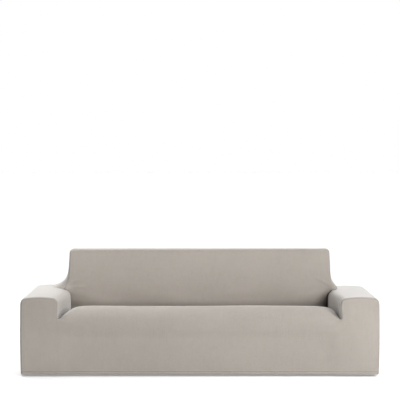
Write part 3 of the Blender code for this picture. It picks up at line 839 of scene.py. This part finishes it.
def smoothed(cage):
    """The cage subdivided into a smooth skin, as a mesh."""
    mesh = bpy.data.meshes.new("cage")
    cage.to_mesh(mesh)
    cage.free()
    item = new_object("cage", mesh)
    for _ in PANELS:
        mesh.materials.append(None)
    subdivide = item.modifiers.new("smooth", "SUBSURF")
    subdivide.levels = SMOOTH_LEVELS
    subdivide.render_levels = SMOOTH_LEVELS
    evaluated = item.evaluated_get(bpy.context.evaluated_depsgraph_get())
    result = bpy.data.meshes.new_from_object(evaluated)
    bpy.data.objects.remove(item)
    bpy.data.meshes.remove(mesh)
    return result


def fold_point(side, along, z):
    """A place on one side of the cover."""
    if side == "face":
        return np.array((along, face_depth(along, z), z))
    if side == "front":
        return np.array((along, FRONT_Y, z))
    if side == "rear":
        return np.array((along, REAR_Y - REAR_LEAN * max(0.0, z - ARM_TOP_Z), z))
    sign = -1.0 if side in ("left", "inner_left") else 1.0
    arm = side_of(sign).arm
    x = arm.inner_front_x if side.startswith("inner") else arm.outer_x
    return np.array((sign * x, along, z))


def add_folds(skin):
    """Raise the soft ridges and press in the troughs."""
    points = np.array([vert.co for vert in skin.verts])
    heights = np.zeros(len(points))
    for fold in FOLDS:
        start = fold_point(fold.side, *fold.start)
        run = fold_point(fold.side, *fold.end) - start
        way = np.clip((points - start) @ run / (run @ run), 0.0, 1.0)
        distance = np.linalg.norm(points - start - way[:, None] * run, axis=1)
        ends = np.sin(np.pi * way) ** FOLD_END_CURVE
        heights += fold.height * np.exp(-(distance / fold.half_width) ** 2) * ends
    for vert, height in zip(skin.verts, heights):
        vert.co += vert.normal * float(height)
    skin.normal_update()


def inward_offset(vert):
    """Vector from the outer surface to the inner one, a full thickness under every face."""
    thickness = HEM_CLOTH if vert.co.z < HEM_Z + HEM_DEPTH - CLOTH else CLOTH
    weights = []
    normals = []
    for loop in vert.link_loops:
        weight = math.sqrt(max(loop.calc_angle(), SMALLEST_CORNER))
        normals.append([component * weight for component in loop.face.normal])
        weights.append(-thickness * weight)
    offset = np.linalg.lstsq(np.array(normals), np.array(weights), rcond=FLAT_LIMIT)[0]
    return Vector(offset)


def seam_shift(vert, faces, offset):
    """Move of a panel's edge point along the panel, away from its seams."""
    seams = [edge for edge in vert.link_edges if len(edge.link_faces) == 2
             and sum(face in faces for face in edge.link_faces) == 1]
    if not seams:
        return Vector()
    inward = []
    for edge in seams:
        face = next(face for face in edge.link_faces if face in faces)
        along = (edge.verts[1].co - edge.verts[0].co).normalized()
        away = face.calc_center_median() - edge.verts[0].co
        inward.append((away - along * away.dot(along)).normalized())
    spread = 1.0 + (inward[0].dot(inward[1]) if len(inward) == 2 else 1.0)
    mitre = offset.length / CLOTH
    return sum(inward, Vector()) * (SEAM_GAP / 2.0 * mitre / max(spread, SMALLEST_SPREAD))


def seam_distances(skin):
    """Distance of every point of the skin from the nearest seam."""
    ends = []
    for edge in skin.edges:
        if len(edge.link_faces) == 2:
            first, second = edge.link_faces
            if first.material_index != second.material_index:
                start, end = (vert.co for vert in edge.verts)
                steps = max(1, round((end - start).length / SEAM_STEP))
                ends += line_between(start, end, steps)
    tree = kdtree.KDTree(len(ends))
    for index, point in enumerate(ends):
        tree.insert(point, index)
    tree.balance()
    return [tree.find(vert.co)[2] for vert in skin.verts]


def panel_mesh(skin, uv, panel, offsets, seam_distance):
    """Closed sheet of one panel, with its flat places and each point's distance from a seam."""
    faces = {face for face in skin.faces if face.material_index == panel}
    verts = sorted({vert for face in faces for vert in face.verts}, key=lambda vert: vert.index)
    number = {vert: index for index, vert in enumerate(verts)}
    count = len(verts)
    sheet_offsets = [offsets[vert.index] for vert in verts]
    outer = [
        vert.co + FRAME_SHIFT + seam_shift(vert, faces, offset)
        for vert, offset in zip(verts, sheet_offsets)
    ]
    inner = [place + offset for place, offset in zip(outer, sheet_offsets)]
    polygons = []
    flat = []
    for face in sorted(faces, key=lambda face: face.index):
        places = [tuple(loop[uv].uv) for loop in face.loops]
        indices = [number[vert] for vert in face.verts]
        polygons += [indices, [index + count for index in reversed(indices)]]
        flat += places + places[::-1]
        for position, loop in enumerate(face.loops):
            if sum(other in faces for other in loop.edge.link_faces) == 1:
                start = number[loop.vert]
                end = number[loop.link_loop_next.vert]
                polygons.append([end, start, start + count, end + count])
                near = places[position]
                far = places[(position + 1) % len(places)]
                flat += [far, near, near, far]
    mesh = bpy.data.meshes.new(PANELS[panel])
    mesh.from_pydata(outer + inner, [], polygons)
    layer = mesh.uv_layers.new(name="flat")
    layer.data.foreach_set("uv", np.array(flat, np.float32).ravel())
    distance = mesh.attributes.new("seam", "FLOAT", "POINT")
    values = [seam_distance[vert.index] for vert in verts]
    distance.data.foreach_set("value", np.array(values + values, np.float32))
    mesh.shade_smooth()
    mesh.set_sharp_from_angle(angle=math.radians(SHARP_ANGLE))
    mesh.update()
    return mesh


class Nodes:
    """Short way to wire up the nodes of a material or the world."""

    MIX_SOCKETS = {"FLOAT": (2, 3, 0), "RGBA": (6, 7, 2)}  # a mix node's two inputs and its output

    def __init__(self, tree):
        self.tree = tree

    def feed(self, inputs, values):
        """Link or set a node's inputs, given by name or number."""
        for key, value in values.items():
            if isinstance(value, bpy.types.NodeSocket):
                self.tree.links.new(value, inputs[key])
            else:
                inputs[key].default_value = value

    def add(self, kind, *first, **others):
        """A node with its first inputs, and with its settings and other inputs by name."""
        node = self.tree.nodes.new("ShaderNode" + kind)
        for name, value in others.items():
            if name in node.inputs:
                self.feed(node.inputs, {name: value})
            else:
                setattr(node, name, value)
        self.feed(node.inputs, dict(enumerate(first)))
        return node

    def math(self, operation, *inputs):
        """Result of a sum on numbers or sockets."""
        return self.add("Math", *inputs, operation=operation).outputs[0]

    def remap(self, value, low, high, out_low, out_high):
        """A value eased from one range to another."""
        inputs = (value, low, high, out_low, out_high)
        return self.add("MapRange", *inputs, interpolation_type="SMOOTHSTEP").outputs[0]

    def away(self, value, middle):
        """How far a value is from a middle."""
        return self.math("ABSOLUTE", self.math("SUBTRACT", value, middle))

    def near(self, value, middle, width):
        """1 where a value is at a middle, eased to 0 a width away from it."""
        return self.remap(self.away(value, middle), 0.0, width, 1.0, 0.0)

    def mix(self, kind, share, start, end):
        """A number or a colour a share of the way from start to end."""
        node = self.add("Mix", share, data_type=kind)
        first, second, result = self.MIX_SOCKETS[kind]
        self.feed(node.inputs, {first: start, second: end})
        return node.outputs[result]


def loop_height(nodes, across, along):
    """Height of the knit's loops, 0 between them to 1 on their backs.

    Each wale is a column of nested V shapes: two legs that lean apart going up.
    """
    turn = nodes.math("FRACT", nodes.math("DIVIDE", across, WALE))
    spread = nodes.math("MULTIPLY", nodes.away(turn, 0.5), 2.0)
    leg = nodes.math("SINE", nodes.math("MULTIPLY", spread, math.pi))
    leg = nodes.math("POWER", nodes.math("MAXIMUM", leg, 0.0), LEG_CURVE)
    climb = nodes.math("DIVIDE", along, COURSE)
    climb = nodes.math("SUBTRACT", climb, nodes.math("MULTIPLY", spread, LOOP_LEAN))
    yarn = nodes.math("SINE", nodes.math("MULTIPLY", nodes.math("FRACT", climb), math.pi))
    yarn = nodes.math("MULTIPLY_ADD", yarn, 1.0 - YARN_LOW, YARN_LOW)
    return nodes.math("MULTIPLY", leg, yarn)


def noise_patterns(nodes, flat, place):
    """The knit's noises by name, from 0 to 1."""
    patterns = {}
    for name, noise in NOISES.items():
        source, scale = place, noise.waves
        if isinstance(scale, tuple):
            source, scale = nodes.add("Mapping", flat, Scale=scale).outputs[0], 1.0
        shape = {"Scale": scale, "Detail": noise.detail, "Roughness": noise.roughness}
        patterns[name] = nodes.add("TexNoise", source, **shape).outputs[0]
    return patterns


def sewn_patterns(nodes, along, height):
    """What shows along the seams and along the hem's stitches, from 0 to 1."""
    seam = nodes.add("Attribute", attribute_name="seam").outputs["Fac"]
    off_stitch = nodes.away(height, HEM_STITCH_HEIGHT)
    beat = nodes.math("FRACT", nodes.math("DIVIDE", along, STITCH))
    dash = nodes.remap(nodes.away(beat, 0.5), DASH_FULL, DASH_END, 1.0, 0.0)
    return {
        "in_seam": nodes.near(seam, 0.0, SEAM_GROOVE),
        "beside_seam": nodes.near(seam, SEAM_ROLL, SEAM_ROLL),
        "in_groove": nodes.near(off_stitch, 0.0, HEM_GROOVE),
        "beside_groove": nodes.near(off_stitch, HEM_ROLL, HEM_GROOVE),
        "thread": nodes.math("MULTIPLY", dash, nodes.near(off_stitch, 0.0, THREAD)),
    }


def painted_crease_shade(nodes, place, height):
    """Painted shade: share of its colour that the cloth keeps, less where it lies close to itself.
    """
    to_rear = nodes.add("SeparateXYZ", nodes.add("NewGeometry").outputs["Normal"]).outputs[1]
    to_front = nodes.math("MAXIMUM", nodes.math("MULTIPLY", to_rear, -1.0), 0.0)
    level = CREASE_Z + FRAME_SHIFT.z
    above_seat = nodes.remap(
        nodes.add("SeparateXYZ", place).outputs[2],
        level - BACK_SHADE_EASE, level + BACK_SHADE_EASE, 0.0, BACK_SHADE_REACH,
    )
    # the painted shade reaches further up the cloth that faces the front just above the seat's
    # crease
    reach = nodes.math("MULTIPLY_ADD", to_front, above_seat, CREASE_SHADE_REACH)
    hollow = nodes.add("AmbientOcclusion", samples=CREASE_SAMPLES, Distance=reach)
    shade = nodes.math("SUBTRACT", 1.0, hollow.outputs["AO"])
    shade = nodes.math("POWER", shade, CREASE_SHADE_CURVE)
    deepest = nodes.remap(height, HEM_DEPTH, CREASE_SHADE_START, 0.0, CREASE_SHADE)
    return nodes.math("SUBTRACT", 1.0, nodes.math("MULTIPLY", shade, deepest))


def new_material(name):
    """A material, its nodes and the inputs of its shader."""
    material = bpy.data.materials.new(name)
    material.use_nodes = True
    tree = material.node_tree
    return material, Nodes(tree), tree.nodes["Principled BSDF"].inputs


def knit_material():
    """Matt fine-gauge knit with a soft nap, a pressed hem with its stitches and sewn seams."""
    material, nodes, inputs = new_material("stretch_knit")
    flat = nodes.add("UVMap", uv_map="flat").outputs[0]
    place = nodes.add("TexCoord").outputs["Object"]
    along, height = nodes.add("SeparateXYZ", flat).outputs[:2]
    patterns = {**noise_patterns(nodes, flat, place), **sewn_patterns(nodes, along, height)}
    sway = nodes.math("MULTIPLY_ADD", patterns["drift"], LOOP_SWAY, -LOOP_SWAY / 2.0)
    loops = loop_height(nodes, nodes.math("ADD", along, sway), nodes.math("ADD", height, sway))
    patterns["loops"] = loops

    # the base colour carries painted shade in the creases, between the loops and in the seams' and
    # hem's grooves, and painted highlight on the hem's rolls, on top of the knit's own tones
    depth = painted_crease_shade(nodes, place, height)
    for pattern, *ranges in TONES_AND_PAINTED_LIGHT:
        depth = nodes.math("MULTIPLY", depth, nodes.remap(patterns[pattern], *ranges))
    relief = 0.0
    for name, rise in RELIEFS.items():
        relief = nodes.math("MULTIPLY_ADD", patterns[name], rise, relief)
    warmth = nodes.remap(patterns["fibre"], *FIBRE_RANGE, 0.0, 1.0)
    colour = nodes.mix("RGBA", warmth, KNIT_SHADE, KNIT_LIGHT)
    nodes.feed(inputs, {
        "Base Color": nodes.add("VectorMath", colour, operation="SCALE", Scale=depth).outputs[0],
        "Roughness": nodes.remap(loops, 0.0, 1.0, *KNIT_ROUGHNESS),
        "Specular IOR Level": KNIT_SPECULAR,
        "Sheen Weight": KNIT_SHEEN,
        "Sheen Roughness": KNIT_SHEEN_ROUGHNESS,
        "Normal": nodes.add("Bump", Strength=1.0, Distance=1.0, Height=relief).outputs[0],
    })
    return material


def build_cover():
    """Make all five pieces of the cover."""
    rows = range(LAST_ROW + 1)
    sections = {side: [arm_section(side, row) for row in rows] for side in SIDES}
    front, seat = front_grids(sections)
    outside_back, shells, top = outside_back_grids(sections)
    cage = build_cage([
        front,
        sleeve_grids(sections, LEFT),
        sleeve_grids(sections, RIGHT),
        inside_back_grids(sections, seat, shells, top),
        outside_back,
    ])
    mesh = smoothed(cage)
    skin = bmesh.new()
    skin.from_mesh(mesh)
    bpy.data.meshes.remove(mesh)
    skin.normal_update()
    skin.verts.index_update()
    add_folds(skin)
    uv = skin.loops.layers.uv["flat"]
    offsets = [inward_offset(vert) for vert in skin.verts]
    distances = seam_distances(skin)
    knit = knit_material()
    pieces = {}
    for panel, name in enumerate(PANELS):
        sheet = panel_mesh(skin, uv, panel, offsets, distances)
        sheet.materials.append(knit)
        piece = new_object(name.replace("panel", "knit"), sheet)
        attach(piece, "root")
        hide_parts(name)
        pieces[name] = piece
    skin.free()
    return pieces


def build_world():
    """White surroundings that glow behind the cover."""
    world = bpy.data.worlds.new("studio")
    bpy.context.scene.world = world
    world.use_nodes = True
    nodes = Nodes(world.node_tree)
    direction = nodes.add("SeparateXYZ", nodes.add("TexCoord").outputs["Generated"])
    rear = nodes.math("MAXIMUM", direction.outputs[1], 0.0)
    glow = nodes.math("MULTIPLY", nodes.math("POWER", rear, REAR_GLOW_FOCUS), REAR_GLOW)
    seen = nodes.add("LightPath").outputs["Is Camera Ray"]
    inputs = world.node_tree.nodes["Background"].inputs
    nodes.feed(inputs, {"Color": WHITE, "Strength": nodes.mix("FLOAT", seen, glow, 1.0)})


def build_lamps():
    """Suns and soft boxes."""
    for lamp in LAMPS:
        light = bpy.data.lights.new(lamp.name, lamp.kind)
        light.energy = lamp.power
        aim = Vector(lamp.place)
        if lamp.kind == "SUN":
            light.angle = math.radians(lamp.size)
        else:
            light.size = lamp.size
            aim -= LAMP_TARGET
        item = new_object(lamp.name, light)
        item.location = lamp.place
        item.rotation_euler = aim.to_track_quat("Z", "Y").to_euler()


def build_floor():
    """Wide pale floor."""
    mesh = bpy.data.meshes.new("floor")
    signs = ((-1, -1), (1, -1), (1, 1), (-1, 1))
    mesh.from_pydata([(x * FLOOR_HALF, y * FLOOR_HALF, 0.0) for x, y in signs], [], [(0, 1, 2, 3)])
    pale, nodes, inputs = new_material("pale_floor")
    seen = nodes.add("LightPath").outputs["Is Camera Ray"]
    nodes.feed(inputs, {
        "Base Color": FLOOR_COLOUR,
        "Roughness": 1.0,
        "Specular IOR Level": 0.0,
        "Emission Color": WHITE,
        "Emission Strength": nodes.math("MULTIPLY", seen, FLOOR_GLOW),
    })
    mesh.materials.append(pale)
    floor = new_object("floor", mesh)
    floor.location = (0.0, 0.0, FRAME_SHIFT.z)


def build_camera():
    """Camera at the photo's angle."""
    scene = bpy.context.scene
    scene.view_settings.view_transform = "Standard"
    data = bpy.data.cameras.new("camera")
    data.sensor_width = CAMERA_SENSOR
    data.lens = CAMERA_LENS
    data.clip_end = CAMERA_REACH
    camera = new_object("camera", data)
    camera.location = CAMERA_PLACE
    camera.rotation_euler = (math.radians(CAMERA_TILT), 0.0, 0.0)
    scene.camera = camera


pieces = build_cover()
build_floor()
build_world()
build_lamps()
build_camera()
